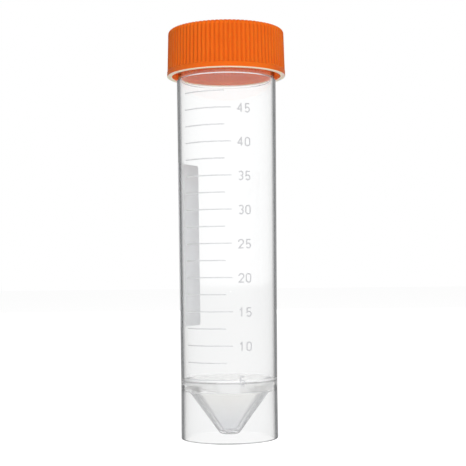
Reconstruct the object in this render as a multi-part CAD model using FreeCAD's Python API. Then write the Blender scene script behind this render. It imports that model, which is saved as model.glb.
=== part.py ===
import FreeCAD, Part

import math
import os

from FreeCAD import Vector

# A self-standing 50 ml conical tube with a ribbed screw cap, in millimetres.
# The tube stands on its skirt: the origin is the centre of the skirt's base, +Z is up
# and -Y is the front, where the graduations are read. An azimuth is an angle round the
# tube from the front, in degrees, positive towards +X.

# Tube: body, neck, cone and skirt are one moulding
tube_height = 115.4            # base of the skirt to the rim of the mouth
neck_length = 12.0             # from the shoulder, where the body steps in, to the rim
waist_height = 15.8            # where the body's taper turns into the skirt's flare
floor_height = 17.42           # inner corner between the wall and the cone
body_top_radius = 14.41        # outer radius under the shoulder
waist_radius = 13.87
base_radius = 13.93
body_top_wall = 1.15
floor_wall = 1.33
neck_step_depth = 0.30         # the neck is this much slimmer than the body
shoulder_edge_radius = 0.15
rim_bevel_width = 0.20
cone_wall = 1.50
tip_height = 1.40              # underside of the tip above the base
tip_wall = 1.50
tip_bore_radius = 1.95         # flat floor inside the tip
tip_edge_radius = 1.20
floor_edge_radius = 0.50       # inner corner between the wall and the cone
skirt_top_wall = 1.50
skirt_base_wall = 1.30
base_bevel_width = 0.20

# Screw thread, right-handed with one start
thread_pitch = 3.50
thread_turns = 1.50
thread_depth = 1.15
thread_base_width = 1.90
thread_flank_angle = 30.0
thread_root_depth = 0.30       # how far a thread is sunk into its wall
thread_below_rim = 1.75        # end of the tube's thread below the rim
thread_start_azimuth = 140.0
thread_side_clearance = 0.25   # between a crest and the wall that it faces
thread_flank_clearance = 0.10  # between the loaded flanks, with the cap closed

# Cap: ribbed side, top and inner thread are one moulding
rim_gap = 1.18                 # cap's lower edge above the tube's shoulder
cap_side_wall = 1.31           # at the top of the ribs, rib included
cap_draft = 1.40               # degrees that the side leans inwards
cap_top_wall = 1.80
cap_edge_radius = 1.10
cap_edge_facets = 3            # cones that follow the edge's rounding across the ribs
cap_band_height = 1.50         # smooth band below the ribs
cap_band_depth = 0.08          # the band stands out this much past the ribs
cap_band_bevel_width = 0.20
cap_mouth_relief_depth = 0.40  # the bore widens by this much at the lower edge
cap_mouth_relief_height = 1.20
rib_count = 82
rib_depth = 0.30
rib_groove_share = 0.70        # part of a rib's pitch that its groove takes

# Sealing liner: a loose disc between the rim and the cap's ceiling
liner_thickness = 0.90
liner_clearance = 0.15

# Print: films of white ink on the outside of the body
ink_thickness = 0.05
mark_count = 18
bottom_mark_ml = 5.0
mark_step_ml = 2.5
number_step_ml = 5.0           # marks at a multiple of this are numbered
top_mark_depth = 4.85          # centre of the top mark below the shoulder
bottom_mark_height = 0.21      # centre of the bottom mark above the inner corner
mark_width = 0.33
mark_start_azimuth = -55.0
full_mark_end_azimuth = 5.0    # the numbered marks
half_mark_end_azimuth = -2.5   # the marks between them
number_azimuth = 15.4          # centre of a number's first digit
number_drop = 0.15             # centre of a number below its mark
digit_height = 2.70
digit_width = 1.70
digit_gap = 0.47
digit_stroke_width = 0.36
patch_bottom_height = 32.05
patch_height = 47.60
patch_start_azimuth = -138.8
patch_end_azimuth = -78.0
patch_corner_radius = 0.80

# Sizes that follow from the ones above
shoulder_height = tube_height - neck_length
bore_top_radius = body_top_radius - body_top_wall
neck_radius = body_top_radius - neck_step_depth
thread_crest_radius = neck_radius + thread_depth
cap_bore_radius = thread_crest_radius + thread_side_clearance
cap_base_height = shoulder_height + rim_gap
ceiling_height = tube_height + liner_thickness
cap_top_height = ceiling_height + cap_top_wall
tube_thread_height = tube_height - thread_below_rim - thread_pitch * thread_turns

UP = Vector(0, 0, 1)
BEVEL = 1                      # facets of a corner that is cut off straight


def body_radius(height):
    """Outer radius of the body, which widens evenly from the waist to the shoulder."""
    share = (height - waist_height) / (shoulder_height - waist_height)
    return waist_radius + share * (body_top_radius - waist_radius)


def cap_side_radius(height):
    """Radius of the rib crests, which lean inwards towards the cap's top."""
    lean = math.tan(math.radians(cap_draft))
    return cap_bore_radius + cap_side_wall + (cap_top_height - height) * lean


def turned(shape, angle):
    """Copy of a shape, turned about the tube's axis by an angle in degrees."""
    copy = shape.copy()
    copy.rotate(Vector(), UP, angle)
    return copy


def corner_edges(start, middle, end, facets):
    """Arc across a corner, or the same arc as a number of straight facets."""
    arc = Part.Arc(start, middle, end).toShape()
    if facets == 0:
        return [arc]
    points = arc.discretize(facets + 1)
    return [Part.makeLine(here, there) for here, there in zip(points, points[1:])]


def revolved(corners):
    """Solid of revolution about Z of an outline in the XZ plane.

    A corner is (x, z), or (x, z, radius) where it is rounded, or (x, z, radius, facets)
    where the rounding is made of straight facets.
    """
    corners = [(*corner, 0, 0)[:4] for corner in corners]
    points = [Vector(x, 0, z) for x, z, _, _ in corners]
    starts, ends, edges = [], [], []
    for i, (_, _, radius, facets) in enumerate(corners):
        here = points[i]
        back = (points[i - 1] - here).normalize()
        ahead = (points[(i + 1) % len(points)] - here).normalize()
        half_angle = back.getAngle(ahead) / 2
        starts.append(here + back * (radius / math.tan(half_angle)))
        ends.append(here + ahead * (radius / math.tan(half_angle)))
        if radius > 0:
            middle = here + (back + ahead).normalize() * (radius / math.sin(half_angle) - radius)
            edges += corner_edges(starts[i], middle, ends[i], facets)
    for i, end in enumerate(ends):
        edges.append(Part.makeLine(end, starts[(i + 1) % len(points)]))
    outline = Part.Wire(Part.__sortEdges__(edges))
    return Part.Face(outline).revolve(Vector(), UP, 360)


def screw_thread(wall_radius, crest_radius, start_height):
    """Helical thread of trapezoid section from a wall to a crest, sunk a little into the wall."""
    outwards = math.copysign(1, crest_radius - wall_radius)
    slope = math.tan(math.radians(thread_flank_angle))
    root_radius = wall_radius - outwards * thread_root_depth
    half_root = thread_base_width / 2 + thread_root_depth * slope
    half_crest = thread_base_width / 2 - abs(crest_radius - wall_radius) * slope
    section = Part.makePolygon([
        Vector(root_radius, 0, -half_root),
        Vector(crest_radius, 0, -half_crest),
        Vector(crest_radius, 0, half_crest),
        Vector(root_radius, 0, half_root),
        Vector(root_radius, 0, -half_root),
    ])
    path = Part.Wire(Part.makeHelix(thread_pitch, thread_pitch * thread_turns, wall_radius).Edges)
    thread = path.makePipeShell([section], True, True)
    thread.translate(UP * start_height)
    return turned(thread, thread_start_azimuth)


def make_tube():
    """Skirt, cone, body and threaded neck."""
    tip_floor = tip_height + tip_wall
    bore_floor_radius = body_radius(floor_height) - floor_wall
    cone_run = bore_floor_radius - tip_bore_radius
    cone_rise = floor_height - tip_floor
    cone_slant = math.hypot(cone_run, cone_rise)
    # the cone's outside runs parallel to its inside, starting one cone wall away from this point
    outside_radius = tip_bore_radius + cone_wall * cone_rise / cone_slant
    outside_height = tip_floor - cone_wall * cone_run / cone_slant
    tip_radius = outside_radius + (tip_height - outside_height) * cone_run / cone_rise
    skirt_bore_radius = waist_radius - skirt_top_wall
    cavity_height = outside_height + (skirt_bore_radius - outside_radius) * cone_rise / cone_run
    body = revolved([
        (0, tip_height),
        (tip_radius, tip_height, tip_edge_radius),
        (skirt_bore_radius, cavity_height),
        (base_radius - skirt_base_wall, 0, base_bevel_width, BEVEL),
        (base_radius, 0, base_bevel_width, BEVEL),
        (waist_radius, waist_height),
        (body_top_radius, shoulder_height, shoulder_edge_radius),
        (neck_radius, shoulder_height + neck_step_depth),
        (neck_radius, tube_height, rim_bevel_width, BEVEL),
        (bore_top_radius, tube_height, rim_bevel_width, BEVEL),
        (bore_top_radius, shoulder_height),
        (bore_floor_radius, floor_height, floor_edge_radius),
        (tip_bore_radius, tip_floor, tip_edge_radius),
        (0, tip_floor),
    ])
    return body.fuse(screw_thread(neck_radius, thread_crest_radius, tube_thread_height))


def rib_groove():
    """Cutter for the V groove at +X between two ribs, which leans as the side does."""
    bottom = cap_base_height + cap_band_height
    crest = cap_side_radius(bottom)
    half_width = math.pi / rib_count * rib_groove_share * crest
    section = Part.makePolygon([
        Vector(crest - rib_depth, 0, bottom),
        Vector(crest + rib_depth, 2 * half_width, bottom),
        Vector(crest + rib_depth, -2 * half_width, bottom),
        Vector(crest - rib_depth, 0, bottom),
    ])
    rise = cap_top_height + cap_top_wall - bottom
    lean = rise * math.tan(math.radians(cap_draft))
    return Part.Face(section).extrude(Vector(-lean, 0, rise))


def make_cap():
    """Ribbed side with a smooth lower band, top and inner thread."""
    band_top = cap_base_height + cap_band_height
    body = revolved([
        (0, ceiling_height),
        (cap_bore_radius, ceiling_height),
        (cap_bore_radius, cap_base_height + cap_mouth_relief_height),
        (cap_bore_radius + cap_mouth_relief_depth, cap_base_height),
        (cap_side_radius(cap_base_height) + cap_band_depth, cap_base_height, cap_band_bevel_width, BEVEL),
        (cap_side_radius(band_top) + cap_band_depth, band_top),
        (cap_side_radius(band_top), band_top),
        (cap_side_radius(cap_top_height), cap_top_height, cap_edge_radius, cap_edge_facets),
        (0, cap_top_height),
    ])
    groove = rib_groove()
    # the first rib, not a groove, is at the front
    grooves = [turned(groove, 360 * (i + 0.5) / rib_count - 90) for i in range(rib_count)]
    # closed, the cap's thread lies just under the tube's thread
    facing_depth = cap_bore_radius - neck_radius
    touching = thread_base_width - facing_depth * math.tan(math.radians(thread_flank_angle))
    cap_thread_height = tube_thread_height - touching - thread_flank_clearance
    thread = screw_thread(cap_bore_radius, neck_radius + thread_side_clearance, cap_thread_height)
    return body.cut(grooves).fuse(thread)


def make_cap_liner():
    """Flat sealing disc between the tube's rim and the cap's ceiling."""
    return Part.makeCylinder(cap_bore_radius - liner_clearance, liner_thickness, UP * tube_height)


def ink_band(bottom, top, start_azimuth, end_azimuth):
    """Film of ink on the body between two heights and two azimuths."""
    section = Part.makePolygon([
        Vector(body_radius(bottom), 0, bottom),
        Vector(body_radius(bottom) + ink_thickness, 0, bottom),
        Vector(body_radius(top) + ink_thickness, 0, top),
        Vector(body_radius(top), 0, top),
        Vector(body_radius(bottom), 0, bottom),
    ])
    band = Part.Face(section).revolve(Vector(), UP, end_azimuth - start_azimuth)
    return turned(band, start_azimuth - 90)


def graduations():
    """Volume in ml and height of the centre of each mark, evenly spaced from the bottom up."""
    bottom = floor_height + bottom_mark_height
    spacing = (shoulder_height - top_mark_depth - bottom) / (mark_count - 1)
    return [(bottom_mark_ml + i * mark_step_ml, bottom + i * spacing) for i in range(mark_count)]


def is_numbered(volume):
    """Whether a mark is one of the longer ones with a number."""
    return volume % number_step_ml == 0


def make_graduation_marks():
    """One line for each volume."""
    marks = []
    for volume, middle in graduations():
        end_azimuth = full_mark_end_azimuth if is_numbered(volume) else half_mark_end_azimuth
        bottom = middle - mark_width / 2
        marks.append(ink_band(bottom, bottom + mark_width, mark_start_azimuth, end_azimuth))
    return Part.makeCompound(marks)


def dot(x, y):
    """Round pen mark that fills a stroke's corner, as a list of one face."""
    return [Part.Face(Part.Wire(Part.makeCircle(digit_stroke_width / 2, Vector(x, y, 0))))]


def line(x1, y1, x2, y2):
    """Straight pen stroke, as a list of one face."""
    start, end = Vector(x1, y1, 0), Vector(x2, y2, 0)
    side = (end - start).cross(UP).normalize() * (digit_stroke_width / 2)
    return [Part.Face(Part.makePolygon([start + side, end + side, end - side, start - side, start + side]))]


def arc(x, y, radius, start, end):
    """Pen stroke along a circle round x, y from one angle to another, as a list of one face."""
    centre = Vector(x, y, 0)
    inner, outer = radius - digit_stroke_width / 2, radius + digit_stroke_width / 2
    across = Part.makeLine(centre + Vector(inner, 0, 0), centre + Vector(outer, 0, 0))
    across.rotate(centre, UP, start)
    return [across.revolve(centre, UP, end - start)]


def flat_digits():
    """The digits 0 to 5 as flat faces, each drawn with a pen above and right of the XY origin."""
    width = digit_width - digit_stroke_width
    height = digit_height - digit_stroke_width
    bowl = width / 2               # radius of the round parts of 0, 2 and 5
    upper = height - bowl
    small = height / 4             # radius of the two round parts of 3
    hook_angle = 35                # where the bowls of 2 and 5 meet their straight strokes
    hook_x = bowl * math.cos(math.radians(hook_angle))
    hook_y = bowl * math.sin(math.radians(hook_angle))
    tail_angle = 150               # how far the open ends of 3 and 5 curl round
    flag_x, flag_y = 0.1 * width, 0.75 * height
    stem_x, bar_y = 0.75 * width, 0.3 * height
    neck_x = 0.15 * width
    zero = (arc(bowl, upper, bowl, 0, 180) + arc(bowl, bowl, bowl, 180, 360)
            + line(0, bowl, 0, upper) + line(width, bowl, width, upper))
    one = line(bowl, 0, bowl, height) + dot(bowl, height) + line(bowl, height, flag_x, flag_y)
    two = (arc(bowl, upper, bowl, -hook_angle, 180) + dot(bowl + hook_x, upper - hook_y)
           + line(bowl + hook_x, upper - hook_y, 0, 0) + dot(0, 0) + line(0, 0, width, 0))
    three = (arc(width - small, 3 * small, small, -90, tail_angle)
             + arc(width - small, small, small, -tail_angle, 90))
    four = (line(stem_x, 0, stem_x, height) + dot(stem_x, height)
            + line(stem_x, height, 0, bar_y) + dot(0, bar_y) + line(0, bar_y, width, bar_y))
    five = (arc(bowl, bowl, bowl, -tail_angle, 180 - hook_angle) + dot(bowl - hook_x, bowl + hook_y)
            + line(bowl - hook_x, bowl + hook_y, neck_x, height) + dot(neck_x, height)
            + line(neck_x, height, width, height))
    return [zero, one, two, three, four, five]


def ink_digit(faces, azimuth, middle):
    """A digit wrapped on the body, centred on an azimuth and a height."""
    depth = waist_radius
    strokes = [face.extrude(UP * depth) for face in faces]
    digit = strokes[0].multiFuse(strokes[1:])
    digit.translate(Vector(digit_stroke_width - digit_width, digit_stroke_width - digit_height, 0) / 2)
    digit.rotate(Vector(), Vector(1, 0, 0), 90)
    digit.translate(Vector(0, -depth / 2, middle))
    reach = math.degrees(digit_width / waist_radius)
    film = ink_band(middle - digit_height, middle + digit_height, azimuth - reach, azimuth + reach)
    return turned(digit, azimuth).common(film)


def make_graduation_numbers():
    """The volume beside each longer mark."""
    digits = flat_digits()
    pitch = math.degrees((digit_width + digit_gap) / body_top_radius)
    numbers = []
    for volume, middle in graduations():
        if is_numbered(volume):
            for place, digit in enumerate(str(int(volume))):
                azimuth = number_azimuth + place * pitch
                numbers.append(ink_digit(digits[int(digit)], azimuth, middle - number_drop))
    return Part.makeCompound(numbers)


def make_writing_patch():
    """White field for a pencil or marker, with rounded corners."""
    patch_top_height = patch_bottom_height + patch_height
    patch = ink_band(patch_bottom_height, patch_top_height, patch_start_azimuth, patch_end_azimuth)
    corners = [edge for edge in patch.Edges if edge.Length < 2 * ink_thickness]
    return patch.makeFillet(patch_corner_radius, corners)


pieces = {
    "tube": make_tube(),
    "cap": make_cap(),
    "cap_liner": make_cap_liner(),
    "graduation_marks": make_graduation_marks(),
    "graduation_numbers": make_graduation_numbers(),
    "writing_patch": make_writing_patch(),
}

os.makedirs("parts", exist_ok=True)
for name, shape in pieces.items():
    shape.exportStep(f"parts/{name}.step")
    print(f"{name}: {len(shape.Solids)} solids, {shape.Volume:.1f} mm3, valid {shape.isValid()}")
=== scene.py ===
import math

import bmesh
import bpy
from mathutils import Matrix, Vector


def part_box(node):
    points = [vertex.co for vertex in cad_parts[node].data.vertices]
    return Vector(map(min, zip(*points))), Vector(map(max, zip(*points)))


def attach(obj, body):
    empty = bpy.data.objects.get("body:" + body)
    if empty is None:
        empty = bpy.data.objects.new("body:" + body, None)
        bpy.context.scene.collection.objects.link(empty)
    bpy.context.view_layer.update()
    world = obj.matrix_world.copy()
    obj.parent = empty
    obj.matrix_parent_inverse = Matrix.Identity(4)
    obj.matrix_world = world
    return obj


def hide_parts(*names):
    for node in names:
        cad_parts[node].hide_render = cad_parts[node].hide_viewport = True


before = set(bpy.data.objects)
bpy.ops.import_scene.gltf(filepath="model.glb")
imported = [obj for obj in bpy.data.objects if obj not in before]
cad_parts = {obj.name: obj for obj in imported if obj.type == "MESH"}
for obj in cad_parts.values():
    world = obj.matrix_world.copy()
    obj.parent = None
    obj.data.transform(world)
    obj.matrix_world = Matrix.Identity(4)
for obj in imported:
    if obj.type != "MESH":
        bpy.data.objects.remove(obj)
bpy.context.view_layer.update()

# Sizes are in millimetres until a mesh is made, and angles in degrees. The tube stands on its
# skirt with its axis on Z, and -Y is the front, where the graduations are read. The sizes are
# the CAD part's. Only the edges and the cap's grooves are rounder here.
MM = 0.001

tube_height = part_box("tube")[1].z / MM
cap_base_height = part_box("cap")[0].z / MM
cap_top_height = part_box("cap")[1].z / MM
liner_base_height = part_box("cap_liner")[0].z / MM
liner_top_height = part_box("cap_liner")[1].z / MM
liner_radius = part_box("cap_liner")[1].x / MM

# Tube
neck_length = 12.0
waist_height = 15.8            # where the body's taper turns into the skirt's flare
floor_height = 17.42           # inner corner between the wall and the cone
body_top_radius = 14.41
waist_radius = 13.87
base_radius = 13.93
body_top_wall = 1.15
floor_wall = 1.33
neck_step_depth = 0.30
cone_wall = 1.50
tip_height = 1.40
tip_wall = 1.50
tip_bore_radius = 1.95
skirt_top_wall = 1.50
skirt_base_wall = 1.30
taper_bend_radius = 100.0      # of the gentle bends between two tapers
tip_edge_radius = 1.20
floor_edge_radius = 0.50
rim_edge_radius = 0.30
skirt_root_edge_radius = 0.30
skirt_base_edge_radius = 0.25
shoulder_edge_radius = 0.15
neck_root_edge_radius = 0.10

# Screw thread, right-handed with one start
thread_pitch = 3.50
thread_turns = 1.50
thread_depth = 1.15
thread_base_width = 1.90
thread_flank_angle = 30.0
thread_root_depth = 0.30
thread_below_rim = 1.75
thread_start_angle = 140.0     # from +X
thread_side_clearance = 0.25
thread_flank_clearance = 0.10
thread_fade_angle = 20.0       # a thread's ends rise out of the wall over this angle
thread_least_rise = 0.02       # share of its depth that a thread has at its very ends

# Cap
cap_side_wall = 1.31
cap_draft = 1.40
cap_edge_radius = 1.10
cap_band_height = 1.50
cap_band_depth = 0.08
cap_band_run_out = 0.35        # the ribs start this far above the band
cap_inner_edge_radius = 0.30
cap_base_edge_radius = 0.25
cap_mouth_edge_radius = 0.15
cap_rib_root_edge_radius = 0.10
cap_band_edge_radius = 0.06
cap_mouth_relief_depth = 0.40
cap_mouth_relief_height = 1.20
rib_count = 82
rib_depth = 0.30
rib_groove_share = 0.80        # part of a rib's pitch that its groove takes

# Liner
liner_edge_radius = 0.20

# Print
ink_thickness = 0.05
ink_sink_depth = 0.03          # the ink's back lies this deep in the wall, with no air between

# Meshes
tube_columns = 256
rib_columns = 12               # columns of the cap's mesh for each rib
arc_steps = 6                  # facets of a rounded edge
support_gap = 0.15             # rows beside a rounded edge keep the flat parts' shading flat
sharp_angle = 35.0             # faces that meet at more than this have a sharp edge between them
weld_distance = 1e-7           # in metres

# Sizes that follow from the ones above
shoulder_height = tube_height - neck_length
bore_top_radius = body_top_radius - body_top_wall
neck_radius = body_top_radius - neck_step_depth
thread_crest_radius = neck_radius + thread_depth
cap_bore_radius = thread_crest_radius + thread_side_clearance
tube_thread_height = tube_height - thread_below_rim - thread_pitch * thread_turns


def body_radius(height):
    """Outer radius of the body between the waist and the shoulder."""
    share = (height - waist_height) / (shoulder_height - waist_height)
    return waist_radius + share * (body_top_radius - waist_radius)


def cap_side_radius(height):
    """Radius of the cap's rib crests."""
    lean = math.tan(math.radians(cap_draft))
    return cap_bore_radius + cap_side_wall + (cap_top_height - height) * lean


def rounded(corners):
    """Points of an outline through corners, with arcs at the rounded ones.

    A corner is its x and z, the radius of its arc and the share of the ribs' depth that it has.
    """
    points = []
    spots = [Vector(corner[:2]) for corner in corners]
    for i, (_, _, radius, share) in enumerate(corners):
        here = spots[i]
        if i in (0, len(corners) - 1) or radius == 0:
            points.append((here.x, here.y, share))
            continue
        back = (spots[i - 1] - here).normalized()
        ahead = (spots[i + 1] - here).normalized()
        half_angle = back.angle(ahead) / 2
        reach = radius / math.tan(half_angle)
        centre = here + (back + ahead).normalized() * (radius / math.sin(half_angle))
        start, end = here + back * reach - centre, here + ahead * reach - centre
        turn = start.angle_signed(end)
        points.append((*(here + back * (reach + support_gap)), share))
        for step in range(arc_steps + 1):
            spoke = start.copy()
            spoke.rotate(Matrix.Rotation(-turn * step / arc_steps, 2))
            points.append((*(centre + spoke), share))
        points.append((*(here + ahead * (reach + support_gap)), share))
    return points


def on_circle(radius, angle, height):
    """Place in metres on a circle about the axis."""
    return Vector((radius * math.cos(angle), radius * math.sin(angle), height)) * MM


def lathe(name, corners, columns, groove=None):
    """Closed solid of revolution about Z, whose radius may be less by a groove at each angle."""
    mesh = bmesh.new()
    rings = []
    for x, z, share in rounded(corners):
        ring = []
        for column in range(columns if x > 0 else 1):
            angle = 2 * math.pi * column / columns
            radius = x - (share * groove(angle) if groove else 0)
            ring.append(mesh.verts.new(on_circle(radius, angle, z)))
        rings.append(ring)
    for below, above in zip(rings, rings[1:]):
        for column in range(columns):
            after = (column + 1) % columns
            around = (below[column % len(below)], below[after % len(below)],
                      above[after % len(above)], above[column % len(above)])
            mesh.faces.new(dict.fromkeys(around))
    return finished(name, mesh)


def finished(name, mesh):
    """Object from a closed bmesh, with outward faces."""
    bmesh.ops.recalc_face_normals(mesh, faces=mesh.faces)
    data = bpy.data.meshes.new(name)
    mesh.to_mesh(data)
    mesh.free()
    piece = bpy.data.objects.new(name, data)
    bpy.context.scene.collection.objects.link(piece)
    smooth(piece)
    return piece


def smooth(piece):
    """Smooth shading, with sharp edges where faces meet at a clear angle."""
    piece.data.shade_smooth()
    piece.data.set_sharp_from_angle(angle=math.radians(sharp_angle))


def screw_thread(wall_radius, crest_radius, start_height):
    """Helical thread sunk a little into its wall, whose ends rise out of the wall."""
    outwards = math.copysign(1, crest_radius - wall_radius)
    slope = math.tan(math.radians(thread_flank_angle))
    half_root = thread_base_width / 2 + thread_root_depth * slope
    steps = round(thread_turns * tube_columns / 2)
    fade_steps = steps * thread_fade_angle / (360 * thread_turns)
    mesh = bmesh.new()
    rings = []
    for step in range(steps + 1):
        share = step / steps
        rise = min(1, max(thread_least_rise, min(step, steps - step) / fade_steps))
        depth = abs(crest_radius - wall_radius) * rise
        half_crest = thread_base_width / 2 - depth * slope
        angle = math.radians(thread_start_angle) + 2 * math.pi * thread_turns * share
        middle = start_height + thread_pitch * thread_turns * share
        section = (
            (wall_radius - outwards * thread_root_depth, -half_root),
            (wall_radius + outwards * depth, -half_crest),
            (wall_radius + outwards * depth, half_crest),
            (wall_radius - outwards * thread_root_depth, half_root),
        )
        places = [on_circle(radius, angle, middle + z) for radius, z in section]
        rings.append([mesh.verts.new(place) for place in places])
    for here, there in zip(rings, rings[1:]):
        for i in range(4):
            j = (i + 1) % 4
            mesh.faces.new((here[i], here[j], there[j], there[i]))
    mesh.faces.new(rings[0])
    mesh.faces.new(rings[-1])
    return finished("thread", mesh)


def unite(piece, addition):
    """Joins an overlapping closed mesh to a piece as one solid."""
    union = piece.modifiers.new("union", "BOOLEAN")
    union.operation = "UNION"
    union.solver = "EXACT"
    union.object = addition
    joined = piece.evaluated_get(bpy.context.evaluated_depsgraph_get())
    data = bpy.data.meshes.new_from_object(joined)
    piece.modifiers.clear()
    piece.data = data
    bpy.data.objects.remove(addition)
    smooth(piece)


def make_tube():
    """Body, neck, cone and skirt in one clear moulding."""
    tip_floor = tip_height + tip_wall
    bore_floor_radius = body_radius(floor_height) - floor_wall
    cone_run = bore_floor_radius - tip_bore_radius
    cone_rise = floor_height - tip_floor
    cone_slant = math.hypot(cone_run, cone_rise)
    outside_radius = tip_bore_radius + cone_wall * cone_rise / cone_slant
    outside_height = tip_floor - cone_wall * cone_run / cone_slant
    tip_radius = outside_radius + (tip_height - outside_height) * cone_run / cone_rise
    skirt_bore_radius = waist_radius - skirt_top_wall
    cavity_height = outside_height + (skirt_bore_radius - outside_radius) * cone_rise / cone_run
    tube = lathe("tube_body", [
        (0, tip_height, 0, 0),
        (tip_radius, tip_height, tip_edge_radius, 0),
        (skirt_bore_radius, cavity_height, skirt_root_edge_radius, 0),
        (base_radius - skirt_base_wall, 0, skirt_base_edge_radius, 0),
        (base_radius, 0, skirt_base_edge_radius, 0),
        (waist_radius, waist_height, taper_bend_radius, 0),
        (body_top_radius, shoulder_height, shoulder_edge_radius, 0),
        (neck_radius, shoulder_height + neck_step_depth, neck_root_edge_radius, 0),
        (neck_radius, tube_height, rim_edge_radius, 0),
        (bore_top_radius, tube_height, rim_edge_radius, 0),
        (bore_top_radius, shoulder_height, taper_bend_radius, 0),
        (bore_floor_radius, floor_height, floor_edge_radius, 0),
        (tip_bore_radius, tip_floor, tip_edge_radius, 0),
        (0, tip_floor, 0, 0),
    ], tube_columns)
    unite(tube, screw_thread(neck_radius, thread_crest_radius, tube_thread_height))
    return tube


def rib_groove(angle):
    """Depth of the grooves between the cap's ribs, whose first crest is at the front."""
    place = ((angle + math.pi / 2) * rib_count / (2 * math.pi)) % 1
    from_valley = abs(place - 0.5) / (rib_groove_share / 2)
    return rib_depth * math.cos(min(1, from_valley) * math.pi / 2) ** 2


def make_cap():
    """Ribbed cap with a smooth lower band and an inner thread."""
    band_top = cap_base_height + cap_band_height
    rib_start = band_top + cap_band_run_out
    ceiling_height = liner_top_height
    base_side_radius = cap_side_radius(cap_base_height) + cap_band_depth
    cap = lathe("cap_shell", [
        (0, ceiling_height, 0, 0),
        (cap_bore_radius, ceiling_height, cap_inner_edge_radius, 0),
        (cap_bore_radius, cap_base_height + cap_mouth_relief_height, cap_inner_edge_radius, 0),
        (cap_bore_radius + cap_mouth_relief_depth, cap_base_height, cap_mouth_edge_radius, 0),
        (base_side_radius, cap_base_height, cap_base_edge_radius, 0),
        (cap_side_radius(band_top) + cap_band_depth, band_top, cap_band_edge_radius, 0),
        (cap_side_radius(rib_start), rib_start, cap_rib_root_edge_radius, 1),
        (cap_side_radius(cap_top_height), cap_top_height, cap_edge_radius, 1),
        (0, cap_top_height, 0, 0),
    ], rib_count * rib_columns, rib_groove)
    facing_depth = cap_bore_radius - neck_radius
    touching = thread_base_width - facing_depth * math.tan(math.radians(thread_flank_angle))
    cap_thread_height = tube_thread_height - touching - thread_flank_clearance
    cap_crest_radius = neck_radius + thread_side_clearance
    unite(cap, screw_thread(cap_bore_radius, cap_crest_radius, cap_thread_height))
    return cap


def make_liner():
    """Foam sealing disc with softly rounded edges."""
    return lathe("liner_disc", [
        (0, liner_base_height, 0, 0),
        (liner_radius, liner_base_height, liner_edge_radius, 0),
        (liner_radius, liner_top_height, liner_edge_radius, 0),
        (0, liner_top_height, 0, 0),
    ], tube_columns)


def make_ink(name, node):
    """Printed film: the CAD film cut at the wall's columns, with its back sunk in the wall."""
    mesh = bmesh.new()
    mesh.from_mesh(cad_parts[node].data)
    bmesh.ops.remove_doubles(mesh, verts=mesh.verts, dist=weld_distance)
    front = mesh.verts.layers.float.new("front")
    for vertex in mesh.verts:
        wall_radius = body_radius(vertex.co.z / MM)
        vertex[front] = float(vertex.co.xy.length > (wall_radius + ink_thickness / 2) * MM)
    for column in range(tube_columns // 2):
        angle = 2 * math.pi * column / tube_columns
        across = (-math.sin(angle), math.cos(angle), 0)
        parts = mesh.verts[:] + mesh.edges[:] + mesh.faces[:]
        bmesh.ops.bisect_plane(mesh, geom=parts, dist=weld_distance, plane_co=(0, 0, 0),
                               plane_no=across)
    for vertex in mesh.verts:
        lift = vertex[front] * (ink_thickness + ink_sink_depth) - ink_sink_depth
        vertex.co.xy = vertex.co.xy.normalized() * (body_radius(vertex.co.z / MM) + lift) * MM
    return finished(name, mesh)


def new_material(name):
    """Node material with an empty tree."""
    material = bpy.data.materials.new(name)
    material.use_nodes = True
    material.node_tree.nodes.clear()
    return material, material.node_tree


def add(tree, kind, inputs=None, **settings):
    """New node with its properties set and its inputs, by name or place, linked or set."""
    node = tree.nodes.new(kind)
    for key, value in settings.items():
        setattr(node, key, value)
    for key, value in (inputs or {}).items():
        if isinstance(value, bpy.types.NodeSocket):
            tree.links.new(value, node.inputs[key])
        else:
            node.inputs[key].default_value = value
    return node


def calculate(tree, operation, *values):
    """Output of a math node."""
    return add(tree, "ShaderNodeMath", dict(enumerate(values)), operation=operation).outputs[0]


def choose(tree, factor, off, on):
    """Number between two, by a factor."""
    inputs = {0: factor, 2: off, 3: on}
    return add(tree, "ShaderNodeMix", inputs, data_type="FLOAT").outputs[0]


def tinted(tree, factor, *colours):
    """Colour between two colours or sockets, by a factor."""
    first, second = (
        colour if isinstance(colour, bpy.types.NodeSocket) else (*colour, 1) for colour in colours
    )
    inputs = {0: factor, 6: first, 7: second}
    return add(tree, "ShaderNodeMix", inputs, data_type="RGBA").outputs[2]


def object_place(tree):
    """Place on the piece, in metres in the shared frame."""
    return add(tree, "ShaderNodeTexCoord").outputs["Object"]


def noise(tree, scale, stretch=(1, 1, 1), detail=3.0):
    """Noise over the piece, with its scale in waves a metre."""
    inputs = {"Vector": object_place(tree), "Scale": stretch}
    mapped = add(tree, "ShaderNodeMapping", inputs).outputs["Vector"]
    inputs = {"Vector": mapped, "Scale": scale, "Detail": detail}
    return add(tree, "ShaderNodeTexNoise", inputs).outputs["Fac"]


def ranged(tree, value, low, high, start=0.3, end=0.7):
    """A value between start and end spread between two levels, by default for a noise."""
    limits = {"Value": value, "From Min": start, "From Max": end, "To Min": low, "To Max": high}
    return add(tree, "ShaderNodeMapRange", limits).outputs["Result"]


def bump(tree, height, distance):
    """Bump of a height in metres for a full swing of the value."""
    return add(tree, "ShaderNodeBump", {"Height": height, "Distance": distance}).outputs["Normal"]


def plastic(material, tree, inputs):
    """Ends a material's tree with a principled shader."""
    shader = add(tree, "ShaderNodeBsdfPrincipled", inputs)
    add(tree, "ShaderNodeOutputMaterial", {"Surface": shader.outputs[0]})
    return material


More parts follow.
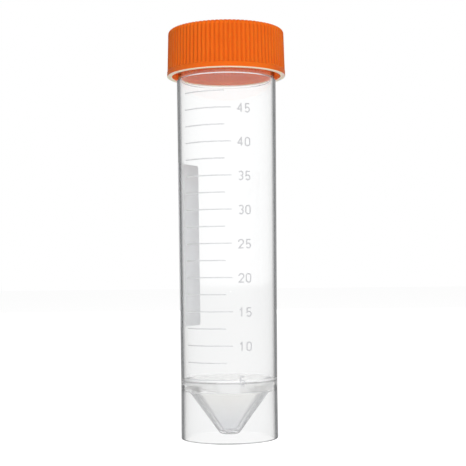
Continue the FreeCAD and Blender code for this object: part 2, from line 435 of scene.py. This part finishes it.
# Clear plastic. Its outer wall has painted shade at its edges, and its thick low parts are
# cloudy.
outer_wall_radius = 13.6       # between the outer surface and the bore at every height
flow_colours = (0.985, 0.99, 0.99), (1, 1, 1)
# Painted shade at the outer wall's edges, where it turns away from the view
edge_shade_slant = 0.575, 0.69       # slant of the view, 1 less its cosine, over which the painted edge shade comes in
edge_shade_colour = 0.06, 0.063, 0.068
foot_heights = 0.28, 0.38      # the outside is shaded up to here, where it turns under
foot_shade = 0.75
wall_haze = 0.10

cone_outer_radius = 12.3
cone_haze = 0.03
cone_heights = 3.5, 12.0       # the cone turns from its lower to its upper colour between these
cone_low_colour = 0.84, 0.845, 0.86
cone_high_colour = 0.92, 0.917, 0.905
# Painted shade at the cone's edges, where it turns away from the view
cone_edge_shade_slant = 0.50, 0.62
cone_edge_shade_colour = 0.36, 0.365, 0.38

ring_heights = 13.6, 14.4, 16.6, 17.4     # start, full, full and end of the cloudy ring
ring_haze = 0.35
line_height = 17.30            # middle of the pale line at the ring's upper edge
line_half_width = 0.22
line_haze = 0.90
band_height = 16.75            # middle of the dark line below it
band_half_width = 0.20
band_colour = 0.66, 0.665, 0.675
pale_edge_heights = 15.6, 17.6     # the painted edge shade is weaker at the ring's upper half
pale_edge_share = 0.45


def make_clear_plastic():
    """Clear polypropylene with faint flow marks along the tube."""
    material, tree = new_material("clear_polypropylene")
    flow = noise(tree, 120, stretch=(1, 1, 0.2))

    # Which part of the tube a ray meets, and whether it enters the plastic from outside
    place = object_place(tree)
    flat = {0: place, 1: (1, 1, 0)}
    across = add(tree, "ShaderNodeVectorMath", flat, operation="MULTIPLY").outputs[0]
    length = add(tree, "ShaderNodeVectorMath", {0: across}, operation="LENGTH")
    from_axis = length.outputs["Value"]
    height = add(tree, "ShaderNodeSeparateXYZ", {0: place}).outputs["Z"]
    is_outside = calculate(tree, "GREATER_THAN", from_axis, outer_wall_radius * MM)
    is_inside_wall = add(tree, "ShaderNodeNewGeometry").outputs["Backfacing"]
    is_entry = calculate(tree, "GREATER_THAN", is_outside, is_inside_wall)
    is_low = calculate(tree, "LESS_THAN", height, ring_heights[-1] * MM)
    is_near_axis = calculate(tree, "LESS_THAN", from_axis, cone_outer_radius * MM)
    is_cone = calculate(tree, "MULTIPLY", is_low, is_near_axis)

    # Painted shade at the outer wall's edges and at its foot
    slant = add(tree, "ShaderNodeLayerWeight", {"Blend": 0.5}).outputs["Facing"]
    edge = ranged(tree, slant, 0, 1, *edge_shade_slant)
    foot = ranged(tree, height, foot_shade, 0, *(level * MM for level in foot_heights))
    low, high = pale_edge_heights
    is_pale = calculate(tree, "COMPARE", height, (low + high) / 2 * MM, (high - low) / 2 * MM)
    edge = calculate(tree, "MULTIPLY", edge, choose(tree, is_pale, 1, pale_edge_share))
    edge = calculate(tree, "MULTIPLY", is_entry, calculate(tree, "MAXIMUM", edge, foot))

    # Haze, which is the share of the light that doesn't go through
    above = ranged(tree, height, 0, 1, ring_heights[0] * MM, ring_heights[1] * MM)
    below = ranged(tree, height, 1, 0, ring_heights[2] * MM, ring_heights[3] * MM)
    ring = calculate(tree, "MULTIPLY", calculate(tree, "MULTIPLY", above, below), is_outside)
    line = calculate(tree, "COMPARE", height, line_height * MM, line_half_width * MM)
    line = calculate(tree, "MULTIPLY", is_entry, line)
    haze = choose(tree, is_cone, calculate(tree, "MULTIPLY", is_entry, wall_haze), cone_haze)
    haze = choose(tree, ring, haze, ring_haze)
    haze = choose(tree, line, haze, line_haze)

    # Colour of the wall, the cone with its painted edge shade, and the dark line
    is_upper = ranged(tree, height, 0, 1, *(level * MM for level in cone_heights))
    cone = tinted(tree, is_upper, cone_low_colour, cone_high_colour)
    # painted shade at the cone's edges
    cone = tinted(tree, ranged(tree, slant, 0, 1, *cone_edge_shade_slant), cone, cone_edge_shade_colour)
    band = calculate(tree, "COMPARE", height, band_height * MM, band_half_width * MM)
    band = calculate(tree, "MULTIPLY", is_entry, band)
    clear = tinted(tree, is_cone, tinted(tree, flow, *flow_colours), cone)
    clear = tinted(tree, band, clear, band_colour)
    return plastic(material, tree, {
        # painted shade at the outer wall's edges and foot
        "Base Color": tinted(tree, edge, clear, edge_shade_colour),
        "Transmission Weight": calculate(tree, "SUBTRACT", 1, haze),
        "IOR": 1.49,
        "Roughness": ranged(tree, flow, 0.02, 0.06),
        "Normal": bump(tree, noise(tree, 250, stretch=(1, 1, 0.3)), 0.00001),
    })


# Orange plastic
orange_colours = (0.80, 0.145, 0.010), (0.88, 0.17, 0.013)
rim_highlight_colour = 1.0, 0.84, 0.66   # painted highlight on the cap's lower edge
rim_highlight_heights = 0.08, 0.25       # above the cap's base, where the painted highlight ends
groove_shade = 0.32            # share of painted shade in the grooves between the ribs
groove_shade_colour = 0.42, 0.055, 0.004


def make_orange_plastic():
    """Satin orange polyethylene that light enters a little, with painted shade in the cap's
    grooves and a painted highlight on its lower edge.
    """
    material, tree = new_material("orange_polyethylene")
    grain = noise(tree, 2600, detail=5.0)
    place = add(tree, "ShaderNodeSeparateXYZ", {0: object_place(tree)}).outputs
    # Painted highlight on the cap's lower edge
    highlight_start, highlight_end = ((cap_base_height + level) * MM for level in rim_highlight_heights)
    rim = ranged(tree, place["Z"], 1, 0, highlight_start, highlight_end)

    # Painted shade in the grooves, by the distance from the middle of the nearest groove, in ribs
    angle = calculate(tree, "ARCTAN2", place["Y"], place["X"])
    angle = calculate(tree, "ADD", angle, math.pi / 2)
    turns = calculate(tree, "MULTIPLY", angle, rib_count / (2 * math.pi))
    from_valley = calculate(tree, "PINGPONG", calculate(tree, "ADD", turns, 0.5), 0.5)
    groove = ranged(tree, from_valley, groove_shade, 0, 0, rib_groove_share / 2)
    side_low = (cap_base_height + cap_band_height) * MM
    side_high = (cap_top_height - cap_edge_radius) * MM
    is_above = calculate(tree, "GREATER_THAN", place["Z"], side_low)
    is_below = calculate(tree, "LESS_THAN", place["Z"], side_high)
    is_side = calculate(tree, "MULTIPLY", is_above, is_below)
    groove = calculate(tree, "MULTIPLY", groove, is_side)

    orange = tinted(tree, noise(tree, 160), *orange_colours)
    # painted shade in the grooves
    orange = tinted(tree, groove, orange, groove_shade_colour)
    return plastic(material, tree, {
        # painted highlight on the cap's lower edge
        "Base Color": tinted(tree, rim, orange, rim_highlight_colour),
        "Subsurface Weight": 0.5,
        "Subsurface Radius": (1.0, 0.45, 0.2),
        "Subsurface Scale": 0.0008,
        "Specular IOR Level": 0.15,
        "Roughness": ranged(tree, grain, 0.38, 0.5),
        "Normal": bump(tree, grain, 0.00002),
    })


# Foam and print
foam_colours = (0.78, 0.78, 0.76), (0.87, 0.87, 0.85)
mark_colours = (0.66, 0.665, 0.68), (0.75, 0.755, 0.77)
number_colours = (0.53, 0.535, 0.55), (0.62, 0.625, 0.64)
patch_colours = (0.64, 0.645, 0.66), (0.74, 0.745, 0.76)


def make_foam():
    """Closed-cell white foam of the sealing liner."""
    material, tree = new_material("white_foam")
    cells = noise(tree, 1800, detail=4.0)
    return plastic(material, tree, {
        "Base Color": tinted(tree, cells, *foam_colours),
        "Roughness": 0.7,
        "Normal": bump(tree, cells, 0.00005),
    })


def make_white_ink(name, colours):
    """Matt white print, a little uneven, with a soft sheen where it's seen at a slant."""
    material, tree = new_material(name)
    grain = noise(tree, 900, detail=4.0)
    return plastic(material, tree, {
        "Base Color": tinted(tree, grain, *colours),
        "Specular IOR Level": 0.2,
        "Sheen Weight": 1.0,
        "Sheen Roughness": 0.7,
        "Roughness": ranged(tree, grain, 0.45, 0.65),
        "Normal": bump(tree, grain, 0.00001),
    })


def dress(piece, material, slot, body, *nodes):
    """Gives a piece its material and body, and hides the CAD nodes that it stands for."""
    piece.data.materials.clear()
    piece.data.materials.append(material)
    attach(piece, body)
    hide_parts(*nodes)


# Brightness of the surroundings for each kind of ray. They are white where they are seen
# straight or through the tube, and dimmer where a wall mirrors them, so that its edges show.
world_levels = {
    "Seen": 1.0,               # straight from the camera
    "Through": 1.08,           # through the tube
    "In Wall": 0.75,           # through the tube, after a reflection in its wall
    "Mirrored": 0.5,           # on a glossy surface
    "Ambient": 0.05,           # as light on a matt surface
    "Behind Wall": 1.9,        # as light on a matt surface that comes through the tube
}
floor_levels = {
    "Seen": 0.965,
    "Through": 0.97,
    "In Wall": 0.72,
    "Mirrored": 0.5,
    "Ambient": 0.55,
    "Behind Wall": 1.2,
}
floor_half_width = 4.0         # in metres
floor_tone = 0.2, 0.2, 0.2


def backdrop_level():
    """Node group that chooses the brightness for a ray."""
    group = bpy.data.node_groups.new("backdrop_level", "ShaderNodeTree")
    group.interface.new_socket("Level", in_out="OUTPUT", socket_type="NodeSocketFloat")
    for name in world_levels:
        group.interface.new_socket(name, in_out="INPUT", socket_type="NodeSocketFloat")
    given = add(group, "NodeGroupInput").outputs
    ray = add(group, "ShaderNodeLightPath").outputs
    was_mirrored = calculate(group, "GREATER_THAN", ray["Glossy Depth"], 0.5)
    is_lighting = calculate(group, "GREATER_THAN", ray["Diffuse Depth"], 0.5)
    through = choose(group, was_mirrored, given["Through"], given["In Wall"])
    seen = choose(group, ray["Is Transmission Ray"], given["Mirrored"], through)
    seen = choose(group, ray["Is Camera Ray"], seen, given["Seen"])
    lighting = choose(group, ray["Is Transmission Ray"], given["Ambient"], given["Behind Wall"])
    add(group, "NodeGroupOutput", {"Level": choose(group, is_lighting, seen, lighting)})
    return group


def level_node(tree, group, levels):
    """Brightness from the group with its levels set."""
    return add(tree, "ShaderNodeGroup", levels, node_tree=group).outputs["Level"]


def make_world(group):
    """White surroundings."""
    world = bpy.data.worlds.new("studio")
    world.use_nodes = True
    tree = world.node_tree
    tree.nodes.clear()
    level = level_node(tree, group, world_levels)
    shader = add(tree, "ShaderNodeBackground", {"Color": (1, 1, 1, 1), "Strength": level})
    add(tree, "ShaderNodeOutputWorld", {"Surface": shader.outputs[0]})
    bpy.context.scene.world = world


def make_floor(group):
    """Wide white floor that keeps the tube's shadow where it's seen straight."""
    mesh = bmesh.new()
    bmesh.ops.create_grid(mesh, x_segments=1, y_segments=1, size=floor_half_width)
    data = bpy.data.meshes.new("floor")
    mesh.to_mesh(data)
    mesh.free()
    floor = bpy.data.objects.new("floor", data)
    bpy.context.scene.collection.objects.link(floor)
    material, tree = new_material("floor")
    glow = add(tree, "ShaderNodeEmission", {"Strength": level_node(tree, group, floor_levels)})
    ray = add(tree, "ShaderNodeLightPath").outputs
    is_backdrop = calculate(tree, "MAXIMUM", ray["Is Transmission Ray"], ray["Is Glossy Ray"])
    tone = tinted(tree, is_backdrop, floor_tone, (0, 0, 0))
    matt = add(tree, "ShaderNodeBsdfDiffuse", {"Color": tone})
    both = add(tree, "ShaderNodeAddShader", {0: glow.outputs[0], 1: matt.outputs[0]})
    add(tree, "ShaderNodeOutputMaterial", {"Surface": both.outputs[0]})
    data.materials.append(material)


# Soft lamps, as places in metres and powers in watts
lamp_width = 0.5
lamps = {
    "front_lamp": ((0.15, -1.2, 0.15), 13.6),
    "back_lamp": ((-0.15, 1.2, 0.15), 8.0),
    "top_lamp": ((0, 0, 1.2), 4.5),
}


def add_lamp(name, place, power):
    """Square area lamp that looks at the middle of the tube and isn't seen itself."""
    lamp = bpy.data.lights.new(name, "AREA")
    lamp.shape = "SQUARE"
    lamp.size = lamp_width
    lamp.energy = power
    stand = bpy.data.objects.new(name, lamp)
    stand.location = place
    target = Vector((0, 0, tube_height / 2 * MM))
    stand.rotation_euler = (target - stand.location).to_track_quat("-Z", "Y").to_euler()
    stand.visible_camera = False
    stand.visible_transmission = False
    stand.visible_glossy = False
    bpy.context.scene.collection.objects.link(stand)


# Camera, in metres and radians, as the photo's perspective gives it
camera_place = 0.001515, -0.3293, 0.04646
camera_pitch = 0.0383
camera_roll = -0.0103
camera_lens = 87.61            # in millimetres, for the sensor's width
camera_sensor = 36.0


def add_camera():
    """Camera a little below the tube's middle, which looks slightly up."""
    camera = bpy.data.cameras.new("camera")
    camera.sensor_width = camera_sensor
    camera.lens = camera_lens
    stand = bpy.data.objects.new("camera", camera)
    upright = Matrix.Rotation(math.pi / 2 + camera_pitch, 4, "X")
    turn = upright @ Matrix.Rotation(camera_roll, 4, "Z")
    stand.matrix_world = Matrix.Translation(camera_place) @ turn
    bpy.context.scene.collection.objects.link(stand)
    bpy.context.scene.camera = stand


clear_plastic = make_clear_plastic()
mark_ink = make_white_ink("mark_ink", mark_colours)
number_ink = make_white_ink("number_ink", number_colours)
patch_ink = make_white_ink("patch_ink", patch_colours)
dress(make_tube(), clear_plastic, "clear_polypropylene", "tube", "tube")
dress(make_cap(), make_orange_plastic(), "orange_polyethylene", "cap", "cap")
dress(make_liner(), make_foam(), "white_foam", "cap_liner", "cap_liner")
marks = make_ink("marks", "graduation_marks")
numbers = make_ink("numbers", "graduation_numbers")
patch = make_ink("patch", "writing_patch")
dress(marks, mark_ink, "white_ink", "tube", "graduation_marks")
dress(numbers, number_ink, "white_ink", "tube", "graduation_numbers")
dress(patch, patch_ink, "white_ink", "tube", "writing_patch")

level_group = backdrop_level()
make_world(level_group)
make_floor(level_group)
for lamp_name, (lamp_place, lamp_power) in lamps.items():
    add_lamp(lamp_name, lamp_place, lamp_power)
add_camera()
bpy.context.scene.view_settings.view_transform = "Standard"

# Light crosses many walls, and mirrored light must stay apart from light seen through them
cycles = bpy.context.scene.cycles
cycles.blur_glossy = 0
cycles.max_bounces = 32
cycles.glossy_bounces = 16
cycles.transmission_bounces = 24
